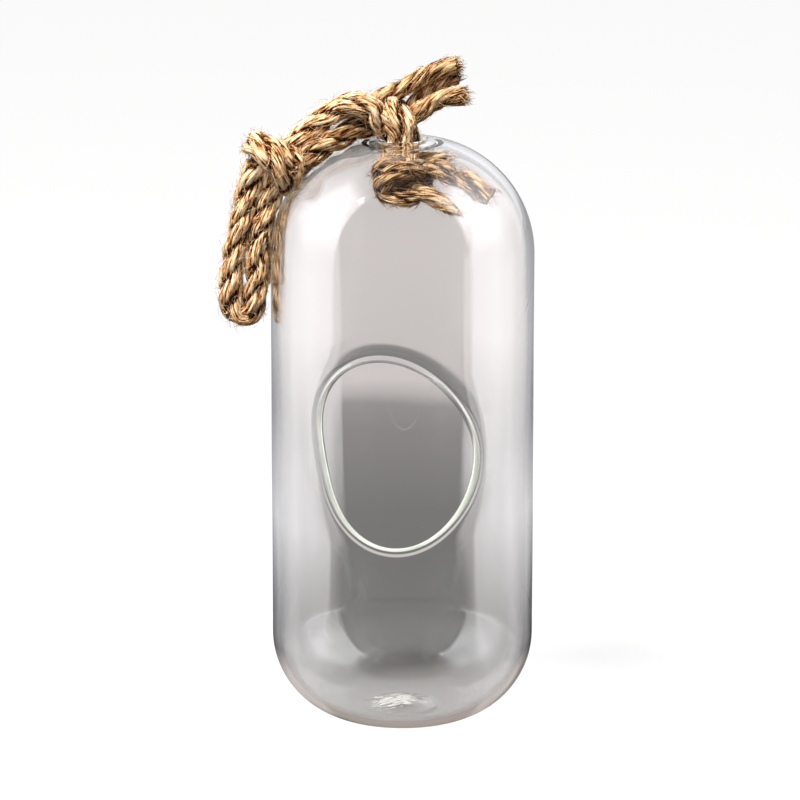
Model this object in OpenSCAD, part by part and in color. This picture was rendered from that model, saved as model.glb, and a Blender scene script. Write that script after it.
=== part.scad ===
// A blown glass terrarium bottle with a hand-cut opening in its front,
// hung from a knotted jute rope that passes through the hole in its crown.
// The origin is the middle of the base, where the bottle stands. +Z is up,
// and the opening faces -Y.

/* [Bottle] */
// Outer diameter of the bottle
body_d = 88; // [80:1:110]
// Height of the crown above the surface that the bottle stands on
body_h = 199; // [185:1:260]
// Thickness of the glass wall
wall = 2.2; // [1.6:0.1:3]
// Outer radius of the shoulder, seen from the side
shoulder_r = 39; // [34:0.5:39.5]
// Outer radius of the shallow crown, seen from the side
crown_r = 70; // [60:1:100]

/* [Hole in the crown] */
// Diameter of the hole that the rope passes through
hole_d = 13.5; // [13:0.1:16]
// Outer diameter of the thick collar around the hole
collar_d = 26; // [24:0.5:30]
// Thickness of the glass in the collar
collar_t = 3.8; // [3.2:0.1:4.6]
// Thickness of the rounded bead at the edge of the hole
bead_t = 3.8; // [3:0.1:4.4]

/* [Opening in the front] */
// Height of the middle of the opening above the base
opening_z = 100.2; // [92:0.5:110]
// How far the middle of the opening lies to the left of the axis
opening_left = 2.3; // [0:0.1:4]
// Mean radius of the opening inside its lip
opening_r = 28.4; // [22:0.2:29]
// Width of the polished lip
lip_w = 2.5; // [1.6:0.1:3.5]
// How far the lip stands proud of the wall, outside and inside
lip_proud = 0.5; // [0.2:0.05:0.8]

/* [Base] */
// Outer radius of the rounded edge of the base
base_edge_r = 29.5; // [22:0.5:31]
// Diameter of the hollow under the base
push_up_d = 24; // [18:0.5:26]
// Height of the hollow under the base
push_up_h = 2.5; // [1.5:0.1:4]
// Diameter of the rough scar where the iron was broken off
scar_d = 15; // [8:0.5:16]

/* [Rope] */
// Diameter of the rope
rope_d = 7; // [6:0.1:7.2]
// Diameter of one strand of the rope, opened out
strand_d = 4.4; // [3.6:0.1:4.6]

/* [Hidden] */

// Overrun of every cut past the face that it goes through
cut = 5;
glass_colour = [0.86, 0.91, 0.90, 0.35];
rope_colour = [0.74, 0.57, 0.36];
$fn = 96;

// Outline of the bottle. The crown is a shallow cap, the shoulder a rounder
// arc tangent to it, and the wall runs straight down to the base's edge.
body_r = body_d / 2;
shoulder_x = body_r - shoulder_r;
crown_z = body_h - crown_r;
shoulder_z = crown_z + sqrt(pow(crown_r - shoulder_r, 2) - pow(shoulder_x, 2));
crown_angle = atan2(shoulder_x, shoulder_z - crown_z);
base_edge_x = body_r - base_edge_r;
push_up_r = (pow(push_up_d / 2, 2) + pow(push_up_h, 2)) / (2 * push_up_h);

// Edge of the opening: a mean radius, with an oval and an egg-shaped part
// as shares of it, each turned by an angle. The cut has this many sides.
oval_share = 0.11;
oval_angle = 105.6;
egg_share = 0.041;
egg_angle = 5;
egg_sides = 72;
// The lip is rounded in two steps: the outer one keeps this share of its width
lip_step_share = 0.6;
lip_low_share = 0.5;

// Half the profile of the bottle, drawn in by an inset
module half_profile(inset) {
    crown_edge_x = crown_r * sin(crown_angle);
    crown_edge_z = crown_z + crown_r * cos(crown_angle);
    intersection() {
        square([body_r, body_h]);
        union() {
            translate([shoulder_x, shoulder_z]) circle(shoulder_r - inset);
            translate([base_edge_x, base_edge_r]) circle(base_edge_r - inset);
            translate([0, base_edge_r])
                square([body_r - inset, shoulder_z - base_edge_r]);
            translate([0, inset])
                square([base_edge_x, base_edge_r]);
            intersection() {
                translate([0, crown_z]) circle(crown_r - inset);
                polygon([[0, crown_z], [crown_edge_x, crown_edge_z],
                         [crown_edge_x, body_h], [0, body_h]]);
            }
            polygon([[0, shoulder_z], [shoulder_x, shoulder_z],
                     [shoulder_x + (shoulder_r - inset) * sin(crown_angle),
                      shoulder_z + (shoulder_r - inset) * cos(crown_angle)],
                     [0, crown_z + (crown_r - inset) * cos(crown_angle)]]);
        }
    }
}

// Polar radius of the edge of the opening, widened by a margin
function edge_radius(angle, margin) =
    opening_r * (1 + oval_share * cos(2 * (angle - oval_angle))
                   + egg_share * cos(3 * (angle - egg_angle))) + margin;

// A prism of the opening's shape through the front wall
module opening_prism(margin) {
    translate([-opening_left, 0, opening_z]) rotate([90, 0, 0])
        linear_extrude(body_r + cut)
            polygon([for (k = [0 : egg_sides - 1])
                let (angle = k * 360 / egg_sides)
                edge_radius(angle, margin) * [cos(angle), sin(angle)]]);
}

// One step of the raised lip: the wall, thickened both ways, around the opening
module lip_step(margin, proud) {
    intersection() {
        translate([0, 0, base_edge_r]) difference() {
            cylinder(r = body_r + proud, h = shoulder_z - base_edge_r);
            translate([0, 0, -cut])
                cylinder(r = body_r - wall - proud, h = shoulder_z - base_edge_r + 2 * cut);
        }
        opening_prism(margin);
    }
}

// The blown bottle: one piece of glass, open at its crown and in its front
module glass_vessel() {
    bead_r = bead_t / 2;
    bead_x = hole_d / 2 + bead_r;
    bead_z = crown_z + sqrt(pow(crown_r, 2) - pow(bead_x, 2)) - bead_r;
    color(glass_colour) difference() {
        union() {
            difference() {
                rotate_extrude() half_profile(0);
                difference() {
                    rotate_extrude() half_profile(wall);
                    translate([0, 0, push_up_h - push_up_r]) sphere(push_up_r + wall);
                    collar_inside();
                }
                translate([0, 0, push_up_h - push_up_r]) sphere(push_up_r);
                translate([0, 0, body_h - collar_t - cut]) cylinder(r = bead_x, h = collar_t + 2 * cut);
            }
            translate([0, 0, bead_z]) rotate_extrude()
                translate([bead_x, 0]) circle(bead_r);
            lip_step(lip_w, lip_proud * lip_low_share);
            lip_step(lip_w * (1 + lip_step_share) / 2, lip_proud);
            pontil_scar();
        }
        opening_prism(0);
    }
}

// The collar's thickness below the crown, left standing when the bottle is hollowed
module collar_inside() {
    intersection() {
        translate([0, 0, crown_z]) difference() {
            sphere(crown_r);
            sphere(crown_r - collar_t);
        }
        translate([0, 0, shoulder_z]) cylinder(d = collar_d, h = body_h - shoulder_z);
    }
}

// The broken ring of glass left by the iron, in the hollow under the base
module pontil_scar() {
    scar_t = wall / 2;
    scar_drop = push_up_r - sqrt(pow(push_up_r, 2) - pow(scar_d / 2, 2));
    translate([0, 0, push_up_h - scar_drop]) rotate_extrude()
        translate([scar_d / 2 - scar_t / 2, 0]) circle(scar_t / 2);
}

// A tube is a set of rings along a route. The direction that the first side
// faces is carried along the route, so that the tube doesn't twist.
function unit(v) = v / norm(v);
function heading(route, i) =
    unit(route[min(i + 1, len(route) - 1)] - route[max(i - 1, 0)]);
function square_to(side, along) = unit(side - (side * along) * along);
function sides_along(route, first_side) =
    [for (i = 0, side = square_to(first_side, heading(route, 0));
          i < len(route);
          i = i + 1, side = square_to(side, heading(route, i))) side];
function ring(centre, along, side, radius, sides) =
    [for (k = [0 : sides - 1])
        let (angle = k * 360 / sides)
        centre + radius * (cos(angle) * side + sin(angle) * cross(along, side))];

module tube(route, radii, sides = 10, first_side = [0.3, 1, 0.2]) {
    facing = sides_along(route, first_side);
    last = len(route) - 1;
    points = [for (i = [0 : last])
        each ring(route[i], heading(route, i), facing[i], radii[i], sides)];
    start_cap = [for (k = [1 : sides - 2]) [0, k, k + 1]];
    end_cap = [for (k = [1 : sides - 2]) [last * sides, last * sides + k + 1, last * sides + k]];
    walls = [for (i = [0 : last - 1], k = [0 : sides - 1])
        let (a = i * sides + k, b = i * sides + (k + 1) % sides)
        each [[a, a + sides, b], [b, a + sides, b + sides]]];
    polyhedron(points, concat(start_cap, walls, end_cap));
}

// The rope is squeezed where it passes the hole, and full away from it
squeeze_share = 0.81;
function rope_radius(point, full_d) =
    let (away = norm([point.x, point.y]) - hole_d / 2,
         share = max(0, min(1, away / rope_d)))
    full_d / 2 * (squeeze_share + (1 - squeeze_share) * share);

module rope_tube(route, full_d) {
    translate([0, 0, body_h]) color(rope_colour)
        tube(route, [for (point = route) rope_radius(point, full_d)]);
}

// The ends of the rope are thinner than the rope, as shares of its diameter
thin_share = 0.8;
cut_tip_share = 0.85;
worn_tip_share = 0.5;
pointed_tip_share = 0.2;

// A strand tapers to a share of its diameter at its end
module strand_tube(route, full_d, tip_share) {
    last = len(route) - 1;
    translate([0, 0, body_h]) color(rope_colour)
        tube(route, [for (i = [0 : last])
            rope_radius(route[i], full_d) * (1 + (tip_share - 1) * pow(i / last, 4))], sides = 8);
}

// Routes of the rope, in millimetres from the middle of the crown.
// From the knot inside, up through the hole and over to the knot on the loop
upper_leg_route = [
    [-3.2, -0.6, -8], [-3.2, -0.6, -3], [-3.4, -0.7, 0.5], [-5.6, -1.1, 3.6],
    [-8.4, -1.6, 6.6], [-10.2, -2, 9.8], [-14, -2.4, 11.5], [-18.6, -2.6, 10.9],
    [-23.2, -2.6, 8.6], [-27.4, -2.6, 5.8], [-31.4, -2.6, 2.4], [-35, -2.6, -1.2],
];
// From the knot on the loop, along the shoulder and behind the hole
lower_leg_route = [
    [-35.2, -6.7, -9.2], [-31.6, -6.7, -6], [-27.4, -5.7, -3], [-23, -3.8, -0.5],
    [-18.4, -1.8, 1.6], [-14.4, 1.4, 2.7], [-10.6, 5, 3.4],
];
// From the knot inside, up through the hole, between the strands of the tail,
// and down behind them to the shoulder
tucked_turn_route = [
    [2.4, -2.6, -8], [2.4, -2.6, -3], [2.3, -2.8, 1], [1.2, -3.2, 4.4], [-0.8, -2.5, 7.3],
    [-2.5, 0.6, 8.8], [-3.1, 4, 8.9], [-3.2, 7.6, 8.6], [-3.1, 11.1, 7.5],
    [-2.7, 13.5, 5.1], [-2.4, 14.6, 2.5],
];
// The three strands of the rope's opened end
tail_routes = [
    [[-10.9, 5, 5], [-9.6, 5.6, 8.8], [-7.2, 5.5, 12.2], [-3.4, 4.8, 14], [1.4, 4.2, 16.2],
     [5.6, 3.4, 18.8], [10.6, 2.4, 21.7], [15, 1.8, 23.4], [18, 1.6, 23.8]],
    [[-10.2, 6.6, 2.8], [-6.8, 8.2, 2.9], [-3.2, 8.4, 2.9], [0.4, 7.6, 4.2], [3.4, 6.2, 8],
     [6.4, 5.4, 12.4], [10.6, 5.2, 16.6], [14.8, 5.2, 19.2], [18, 5.2, 20.2]],
    [[-10.2, 2.8, 2.6], [-6.8, 4.3, 2.8], [-3.2, 4.4, 2.9], [0.4, 3.6, 4.2], [3.4, 2.6, 6.6],
     [7, 1.8, 9], [10.6, 1.4, 11.6], [15.4, 1, 13.4], [20.8, 0.6, 13.5]],
];
// The loop that hangs from its knot, from one exit to the other
hanging_loop_route = [
    [-52, 0, -20.8], [-54, 0, -30], [-55.8, 0, -38], [-57, 0, -46], [-57.4, 0, -53],
    [-56.9, 0, -57.6], [-55.2, 0, -60.1], [-53.5, 0, -60.7], [-51.7, 0, -60.1], [-50, 0, -57.6],
    [-49.2, 0, -53], [-48.6, 0, -46], [-48.2, 0, -38], [-47.2, 0, -30], [-44.2, 0, -20.8],
];
loop_knot_end_route = [
    [-41.5, 2, -12], [-43.6, 7.4, -20], [-44.9, 10.4, -30], [-45, 11, -40], [-44.8, 11.4, -50],
];
// The ends of the ropes, below the knot inside
inner_tail_long_route = [
    [5, -3, -11], [11, -5, -10.6], [17, -6.6, -12.4], [23, -7.6, -15.6], [28.4, -8.4, -19.4],
];
inner_tail_pointed_route = [
    [4, -5, -17], [9, -7, -18.6], [14, -8.6, -21.4], [19, -10, -24.6],
];
inner_tail_short_route = [
    [4.6, 2.4, -8.8], [10.4, 1.6, -7.8], [15.6, 1, -8.6],
];

// A knot: a round core with rope wound about it, its ends drawn into the core.
// The winding is measured against itself, turn by turn.
function winding(turns, radius, pitch, tuck_share, steps) =
    [for (k = [0 : turns * steps])
        let (turn = k / steps,
             near_end = min(turn, turns - turn),
             drawn = radius * (1 - tuck_share * pow(max(0, 1 - near_end / tuck_turns), 2)))
        [drawn * cos(360 * turn), drawn * sin(360 * turn), (turn - turns / 2) * pitch]];
function least_gap(route, diameter, apart) =
    min([for (i = [0 : len(route) - 1], j = [0 : len(route) - 1])
        if (j - i >= apart) norm(route[j] - route[i]) - diameter]);

module wound_knot(turns, radius, rope, pitch, core_r, core_l) {
    steps = 24;
    tuck_share = 0.55;
    route = winding(turns, radius, pitch, tuck_share, steps);
    echo("least gap between the turns of a knot, mm", least_gap(route, rope, steps / 2));
    union() {
        tube(route, [for (point = route) rope / 2], sides = 8, first_side = [1, 0, 0]);
        cylinder(r = core_r, h = core_l, center = true);
        for (end = [-1, 1])
            translate([0, 0, end * core_l / 2]) sphere(core_r);
    }
}

// Sizes and places of the two knots, from the middle of the crown
knot_rope_d = 5.8;
knot_pitch = 6.4;
knot_turns = 2.25;
tuck_turns = 1 / 3;
loop_knot_r = 5.6;
loop_knot_core_r = 4.2;
loop_knot_core_l = 7;
loop_knot_at = [-41, -2.8, -7.2];
loop_knot_turn = [0, 44, 8];
stopper_knot_r = 6;
stopper_knot_core_r = 4.6;
stopper_knot_core_l = 6;
stopper_knot_at = [0, -1.6, -14];
stopper_knot_turn = [0, 64, -14];

module loop_knot() {
    color(rope_colour) translate([0, 0, body_h] + loop_knot_at) rotate(loop_knot_turn)
        wound_knot(knot_turns, loop_knot_r, knot_rope_d, knot_pitch,
                   loop_knot_core_r, loop_knot_core_l);
}

module stopper_knot() {
    color(rope_colour) translate([0, 0, body_h] + stopper_knot_at) rotate(stopper_knot_turn)
        wound_knot(knot_turns, stopper_knot_r, knot_rope_d, knot_pitch,
                   stopper_knot_core_r, stopper_knot_core_l);
}

// The loop swings about its two domed ends, under the knot
module hanging_loop() {
    route = hanging_loop_route;
    last = len(route) - 1;
    dome_angles = [30, 65];
    start_dome = [for (k = [1, 0]) route[0] - dome_step(dome_angles[k]) * heading(route, 0)];
    end_dome = [for (k = [0, 1]) route[last] + dome_step(dome_angles[k]) * heading(route, last)];
    radii = concat([for (k = [1, 0]) dome_radius(dome_angles[k])],
                   [for (point = route) rope_d / 2],
                   [for (k = [0, 1]) dome_radius(dome_angles[k])]);
    translate([0, 0, body_h]) color(rope_colour)
        tube(concat(start_dome, route, end_dome), radii);
}
function dome_step(angle) = rope_d / 2 * sin(angle);
function dome_radius(angle) = rope_d / 2 * cos(angle);

module upper_leg() { rope_tube(upper_leg_route, rope_d); }
module lower_leg() { rope_tube(lower_leg_route, rope_d); }
module tucked_turn() { rope_tube(tucked_turn_route, rope_d); }
module loop_knot_end() {
    strand_tube(loop_knot_end_route, strand_d * thin_share, worn_tip_share);
}
module tail_strand(number) { strand_tube(tail_routes[number], strand_d, cut_tip_share); }
module inner_tail_long() { rope_tube(inner_tail_long_route, rope_d * thin_share); }
module inner_tail_pointed() {
    strand_tube(inner_tail_pointed_route, rope_d * thin_share, pointed_tip_share);
}
module inner_tail_short() { strand_tube(inner_tail_short_route, strand_d, cut_tip_share); }

glass_vessel();
hanging_loop();
loop_knot();
loop_knot_end();
upper_leg();
lower_leg();
tucked_turn();
tail_strand(0);  // tail_strand_1
tail_strand(1);  // tail_strand_2
tail_strand(2);  // tail_strand_3
stopper_knot();
inner_tail_long();
inner_tail_pointed();
inner_tail_short();
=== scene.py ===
import math
import random

import bmesh
import bpy
import numpy as np
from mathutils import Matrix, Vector, noise


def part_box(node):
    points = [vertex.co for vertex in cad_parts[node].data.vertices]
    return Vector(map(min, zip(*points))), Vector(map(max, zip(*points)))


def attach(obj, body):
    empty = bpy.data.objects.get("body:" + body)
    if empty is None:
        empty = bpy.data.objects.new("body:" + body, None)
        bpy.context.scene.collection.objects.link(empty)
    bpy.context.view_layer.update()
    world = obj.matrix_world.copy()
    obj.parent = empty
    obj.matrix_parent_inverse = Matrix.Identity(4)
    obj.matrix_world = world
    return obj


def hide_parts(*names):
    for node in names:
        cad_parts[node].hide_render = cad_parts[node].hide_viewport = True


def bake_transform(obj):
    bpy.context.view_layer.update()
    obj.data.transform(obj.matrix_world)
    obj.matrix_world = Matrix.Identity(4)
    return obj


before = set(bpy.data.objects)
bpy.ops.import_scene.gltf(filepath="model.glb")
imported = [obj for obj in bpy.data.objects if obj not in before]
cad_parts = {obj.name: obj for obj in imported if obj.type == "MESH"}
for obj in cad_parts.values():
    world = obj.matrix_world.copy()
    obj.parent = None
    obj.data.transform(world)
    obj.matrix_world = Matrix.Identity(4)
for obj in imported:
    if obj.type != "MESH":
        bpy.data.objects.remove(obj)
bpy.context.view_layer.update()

# Sizes are in the frame of the CAD part, and in millimetres unless a comment says metres
MM = 0.001
BODY_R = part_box("glass_vessel")[1].x / MM
BODY_H = 199.0
WALL = 2.2
SHOULDER_R = 39.0
CROWN_R = 70.0
BASE_EDGE_R = 29.5
HOLE_D = 13.5
COLLAR_D = 26.0
COLLAR_T = 3.8
PUSH_UP_D = 24.0
PUSH_UP_H = 2.5
OPENING_Z = 100.2
OPENING_LEFT = 2.3
OPENING_R = 28.4
STRAND_D = 4.4
# Loose fibres make the rope and its strands look fuller than their nominal size
FULL_ROPE_D = 8.1
FULL_STRAND_D = 5.8

# Camera: the photograph's viewing angle, from a long way off. It stands at a distance from one
# point, and is turned to another in the middle of the picture.
VIEW_ELEVATION = math.radians(13.5)
VIEW_DISTANCE = 1600.0
VIEW_FROM = (0.0, 0.0, 100.0)
VIEW_TARGET = (-0.84, 0.0, 109.3)
VIEW_LENS = 214.0
NEAR_CLIP = 100.0


def make_camera():
    camera = bpy.data.objects.new("camera", bpy.data.cameras.new("camera"))
    bpy.context.scene.collection.objects.link(camera)
    away = Vector((0, -math.cos(VIEW_ELEVATION), math.sin(VIEW_ELEVATION)))
    camera.location = (Vector(VIEW_FROM) + away * VIEW_DISTANCE) * MM
    aim = Vector(VIEW_TARGET) * MM - camera.location
    camera.rotation_euler = aim.to_track_quat("-Z", "Y").to_euler()
    camera.data.lens = VIEW_LENS
    camera.data.clip_start = NEAR_CLIP * MM
    bpy.context.scene.camera = camera


make_camera()


# A mesh in the making: its points and faces, and for rope where each point lies on its strand
class Gathered:
    def __init__(self):
        self.points = []
        self.faces = []
        self.fibres = []
        self.reliefs_and_groove_shades = []

    def add(self, points, faces, fibres=(), reliefs_and_groove_shades=()):
        start = len(self.points)
        self.points.extend(points)
        self.faces.extend([tuple(i + start for i in face) for face in faces])
        self.fibres.extend(fibres)
        self.reliefs_and_groove_shades.extend(reliefs_and_groove_shades)

    def piece(self, name, material):
        mesh = bpy.data.meshes.new(name)
        mesh.from_pydata([tuple(np.array(p) * MM) for p in self.points], [], self.faces)
        mesh.polygons.foreach_set("use_smooth", [True] * len(self.faces))
        if self.fibres:
            fibre = mesh.attributes.new("fibre", "FLOAT_VECTOR", "POINT")
            fibre.data.foreach_set("vector", np.array(self.fibres, np.float32).ravel())
            # This attribute holds the fibres' relief together with the painted shade of the
            # grooves
            relief_and_groove_shade = mesh.attributes.new("relief_and_groove_shade", "FLOAT", "POINT")
            relief_and_groove_shade.data.foreach_set("value", np.array(self.reliefs_and_groove_shades, np.float32))
        mesh.materials.append(material)
        mesh.update()
        made = bpy.data.objects.new(name, mesh)
        bpy.context.scene.collection.objects.link(made)
        return made


def grid_faces(rows, count, closed=True):
    """Faces between rows of points that lie row after row. A closed row is a ring."""
    faces = []
    for i in range(rows - 1):
        for j in range(count if closed else count - 1):
            a, b = i * count + j, i * count + (j + 1) % count
            faces.append((a, b, b + count, a + count))
    return faces


# Lines in space, as rows of points
TINY = 1e-9
CURVE_STEPS = 24
# A direction that no route starts in
FIRST_SIDE = (0.3, 1, 0.2)


def unit(v):
    return v / max(np.linalg.norm(v), TINY)


def eased(low, high, value):
    """Goes smoothly from 0 to 1 as a value goes from low to high."""
    t = min(1.0, max(0.0, (value - low) / (high - low)))
    return t * t * (3 - 2 * t)


def distances_along(line):
    return np.concatenate([[0], np.cumsum(np.linalg.norm(np.diff(line, axis=0), axis=1))])


def length_of(line):
    return float(distances_along(line)[-1])


def smooth(route):
    """A smooth curve through a route's points, with a point at about each ring step."""
    points = np.array(route, float) + (0, 0, BODY_H)
    ends = np.vstack([2 * points[0] - points[1], points, 2 * points[-1] - points[-2]])
    fine = []
    for i in range(len(points) - 1):
        a, b, c, d = ends[i:i + 4]
        for t in np.linspace(0, 1, CURVE_STEPS, endpoint=False):
            fine.append(b + (c - a) * t / 2 + (2 * a - 5 * b + 4 * c - d) * t**2 / 2
                        + (3 * b - a - 3 * c + d) * t**3 / 2)
    fine.append(points[-1])
    fine = np.array(fine)
    along = distances_along(fine)
    at = np.linspace(0, along[-1], max(2, int(along[-1] / RING_STEP) + 1))
    return np.stack([np.interp(at, along, fine[:, k]) for k in range(3)], axis=1)


def carried_frames(line):
    """Tangents and two directions square to them, carried along a line without twist."""
    tangents = [unit(t) for t in np.gradient(line, axis=0)]
    side = unit(np.cross(tangents[0], FIRST_SIDE))
    frames = []
    for tangent in tangents:
        side = unit(side - np.dot(side, tangent) * tangent)
        frames.append((tangent, side, np.cross(tangent, side)))
    return frames


# Rope: strands twisted together, each of them a tube that is ridged by its fibres.
# A lay is the length in which the strands, or the fibres on a strand, wind round once.
ROPE_LAY = 29.0
STRAND_LAY = 46.0
STRANDS = 3
STRAND_SIDES = 44
RING_STEP = 0.55
# A strand's radius, and how far it lies off the rope's middle, as shares of the rope's diameter
STRAND_SHARE = 0.268
HELIX_SHARE = 0.245
# How far the strands stray from an even lay, in radians, and swell, as a share of their radius
STRAND_DRIFT = 0.55
DRIFT_LENGTH = 11.0
STRAND_SWELL = 0.14
SWELL_LENGTH = 5.0
# Fibres lie in bundles, and fine fibres on them. A ridge is a share of the strand's radius, round
# tells how many lie round the strand, and weight is their part in how light the strand is.
BUNDLE_RIDGE = 0.13
BUNDLE_ROUND = 1.9
BUNDLE_LENGTH = 8.0
BUNDLE_WEIGHT = 0.55
FINE_RIDGE = 0.11
FINE_ROUND = 4.6
FINE_LENGTH = 4.0
FINE_WEIGHT = 0.45
NOISE_GAIN = 1.9
# Painted shade: a strand is darkened where its surface turns toward the rope's middle, into the
# groove between strands. The cosines of its angle off straight outward where the painted shade
# starts and where it is full, and how dark that and a cut end are
GROOVE_START = 0.6
GROOVE_END = 0.1
GROOVE_PAINTED_SHADE = 1.5
END_DARK = 0.5
# Steps in noise that make strands and seeds unlike each other
BUNDLE_SEED_STEP = 7.3
FINE_SEED_STEP = 3.1
FIBRE_SEED_STEP = 17
STRAND_SEED_STEP = 0.37
STRAND_NOISE_STEP = 7.0
SWELL_NOISE_STEP = 3.0
DRAWS_PER_SEED = 100


def relief_at(angle, along, seed):
    """Heights of the bundles and of the fine fibres at a place, each from about -1 to 1."""
    c, s = math.cos(angle), math.sin(angle)
    bundles = noise.noise(Vector((c * BUNDLE_ROUND, s * BUNDLE_ROUND + seed * BUNDLE_SEED_STEP,
                                  along / BUNDLE_LENGTH)))
    fine = noise.noise(Vector((c * FINE_ROUND, s * FINE_ROUND + seed * FINE_SEED_STEP,
                               along / FINE_LENGTH)))
    return NOISE_GAIN * bundles, NOISE_GAIN * fine


def strand_tube(gathered, line, radii, seed, hub=None):
    """One strand: a tube whose surface is ridged by the fibres that wind slowly along it.
    Where it faces the hub, the middle of its rope, the groove's shade is painted into its colour."""
    points, fibres, reliefs_and_groove_shades = [], [], []
    distances = distances_along(line)
    for i, (centre, (_, side, up)) in enumerate(zip(line, carried_frames(line))):
        for k in range(STRAND_SIDES):
            angle = 2 * math.pi * k / STRAND_SIDES
            fibre_angle = angle + 2 * math.pi * distances[i] / STRAND_LAY
            bundles, fine = relief_at(fibre_angle, distances[i], seed)
            radius = radii[i] * (1 + BUNDLE_RIDGE * bundles + FINE_RIDGE * fine)
            way = math.cos(angle) * side + math.sin(angle) * up
            points.append(centre + radius * way)
            # Painted shade: darker where the strand faces into the groove between strands
            painted_groove_shade = 0.0
            if hub is not None:
                facing = way @ unit(centre - hub[i])
                painted_groove_shade = GROOVE_PAINTED_SHADE * eased(GROOVE_START, GROOVE_END, facing)
            fibres.append((radii[i] * math.cos(fibre_angle),
                           radii[i] * math.sin(fibre_angle) + seed * FIBRE_SEED_STEP,
                           distances[i]))
            reliefs_and_groove_shades.append(BUNDLE_WEIGHT * bundles + FINE_WEIGHT * fine - painted_groove_shade)
    faces = grid_faces(len(line), STRAND_SIDES)
    for ring, flip in ((0, True), (len(line) - 1, False)):
        middle = len(points)
        points.append(line[ring])
        fibres.append((0.0, seed * FIBRE_SEED_STEP, distances[ring]))
        reliefs_and_groove_shades.append(-END_DARK)
        for k in range(STRAND_SIDES):
            a, b = ring * STRAND_SIDES + k, ring * STRAND_SIDES + (k + 1) % STRAND_SIDES
            faces.append((b, a, middle) if flip else (a, b, middle))
    gathered.add(points, faces, fibres, reliefs_and_groove_shades)


# Loose fibres. Those along a rope or strand are hairs, and those at a strand's end are a brush.
# A pair is the low and high end of a draw, or where it goes through gauss its middle and spread.
# A hair starts at a share of the strand's radius, and shares of length are of the longest.
HAIR_STEPS = 6
HAIR_SIDES = 3
HAIR_TAPER = 0.7
HAIR_START = 0.95
HAIR_ASIDE = (0.1, 0.8)
HAIR_OUT = (0, 0.25)
HAIR_THICK = (0.06, 0.13)
SHORTEST_SHARE = 0.2
BRUSH_ROOT = 1
BRUSH_OUT = (0.1, 0.25)
BRUSH_ASIDE = (0, 0.25)
BRUSH_LONG = (0.1, 0.45)
BRUSH_THICK = (0.1, 0.22)
HAIR_BEND = (0, 0.45)
HAIR_CURL = (0, 0.35)
BEND_INWARD = (0, 0.5)
BEND_SHARE = 0.45
CURL_SHARE = 0.4
# A few fibres bend and curl much more than the rest
CURLY_CHANCE = 0.12
CURLY = 2.6
# How light a fibre is, and where it lies in the jute's streaks
HAIR_SHADE = (-0.8, 1.3)
HAIR_PLACE = (0, 100)
# How far a fibre may stand off, as a distance and as a share of the rope's radius
STAND_OFF = 1.0
STAND_OFF_SHARE = 0.25


def loose_fibres(gathered, line, radii, per_mm, longest, seed, guide=None, brush=0):
    """Thin fibres that stand off a rope or strand, and a brush of them at its end."""
    guide_line, guide_radius = guide or (line, radii[0])
    draw = random.Random(seed)
    frames = carried_frames(line)
    count = int(length_of(line) * per_mm)
    for number in range(count + brush):
        in_brush = number >= count
        i = len(line) - 1 if in_brush else draw.randrange(1, len(line) - 1)
        tangent, side, up = frames[i]
        angle = draw.uniform(0, 2 * math.pi)
        out = math.cos(angle) * side + math.sin(angle) * up
        around = np.cross(tangent, out)
        if in_brush:
            start = line[i] + out * radii[i] * math.sqrt(draw.random()) - tangent * BRUSH_ROOT
            way = unit(tangent + out * draw.gauss(*BRUSH_OUT) + around * draw.gauss(*BRUSH_ASIDE))
            long = BRUSH_ROOT + draw.uniform(*BRUSH_LONG) * longest
            thick = draw.uniform(*BRUSH_THICK)
        else:
            start = line[i] + out * radii[i] * HAIR_START
            way = unit(tangent * draw.choice((-1, 1)) + around * draw.gauss(*HAIR_ASIDE)
                       + out * abs(draw.gauss(*HAIR_OUT)))
            long = longest * (SHORTEST_SHARE + (1 - SHORTEST_SHARE) * draw.random() ** 2)
            thick = draw.uniform(*HAIR_THICK)
        curly = CURLY if draw.random() < CURLY_CHANCE else 1.0
        bend = drawn_vector(draw, HAIR_BEND) * curly - out * draw.uniform(*BEND_INWARD)
        curl = drawn_vector(draw, HAIR_CURL) * curly
        t = np.linspace(0, 1, HAIR_STEPS)[:, None]
        spine = start + long * (way * t + BEND_SHARE * bend * t**2 + CURL_SHARE * curl * t**3)
        hair(gathered, kept_near(spine, guide_line, guide_radius), thick, draw)


def drawn_vector(draw, spread):
    return np.array([draw.gauss(*spread) for _ in range(3)])


def kept_near(spine, line, radius):
    """Presses a hair back toward its rope, so that it stands off it by less than the limit."""
    gaps = spine[:, None, :] - line[None, :, :]
    distances = np.linalg.norm(gaps, axis=2)
    nearest = distances.argmin(axis=1)
    rows = np.arange(len(spine))
    out = gaps[rows, nearest]
    far = distances[rows, nearest]
    past = np.maximum(0, far - radius)
    reach = STAND_OFF + STAND_OFF_SHARE * radius
    pressed = np.minimum(far, radius) + reach * (1 - np.exp(-past / reach))
    return line[nearest] + out * (pressed / np.maximum(far, TINY))[:, None]


def hair(gathered, spine, thick, draw):
    """One loose fibre: a thin tube that tapers to its tip."""
    long = length_of(spine)
    shade = draw.uniform(*HAIR_SHADE)
    place = draw.uniform(*HAIR_PLACE)
    points, fibres = [], []
    for j, (centre, (_, side, up)) in enumerate(zip(spine, carried_frames(spine))):
        width = thick * (1 - HAIR_TAPER * j / (HAIR_STEPS - 1))
        for k in range(HAIR_SIDES):
            angle = 2 * math.pi * k / HAIR_SIDES
            points.append(centre + width * (math.cos(angle) * side + math.sin(angle) * up))
            fibres.append((place, place, j * long / HAIR_STEPS))
    tip = (HAIR_STEPS - 1) * HAIR_SIDES
    faces = grid_faces(HAIR_STEPS, HAIR_SIDES) + [(0, 2, 1), (tip, tip + 1, tip + 2)]
    gathered.add(points, faces, fibres, [shade] * len(points))


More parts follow.
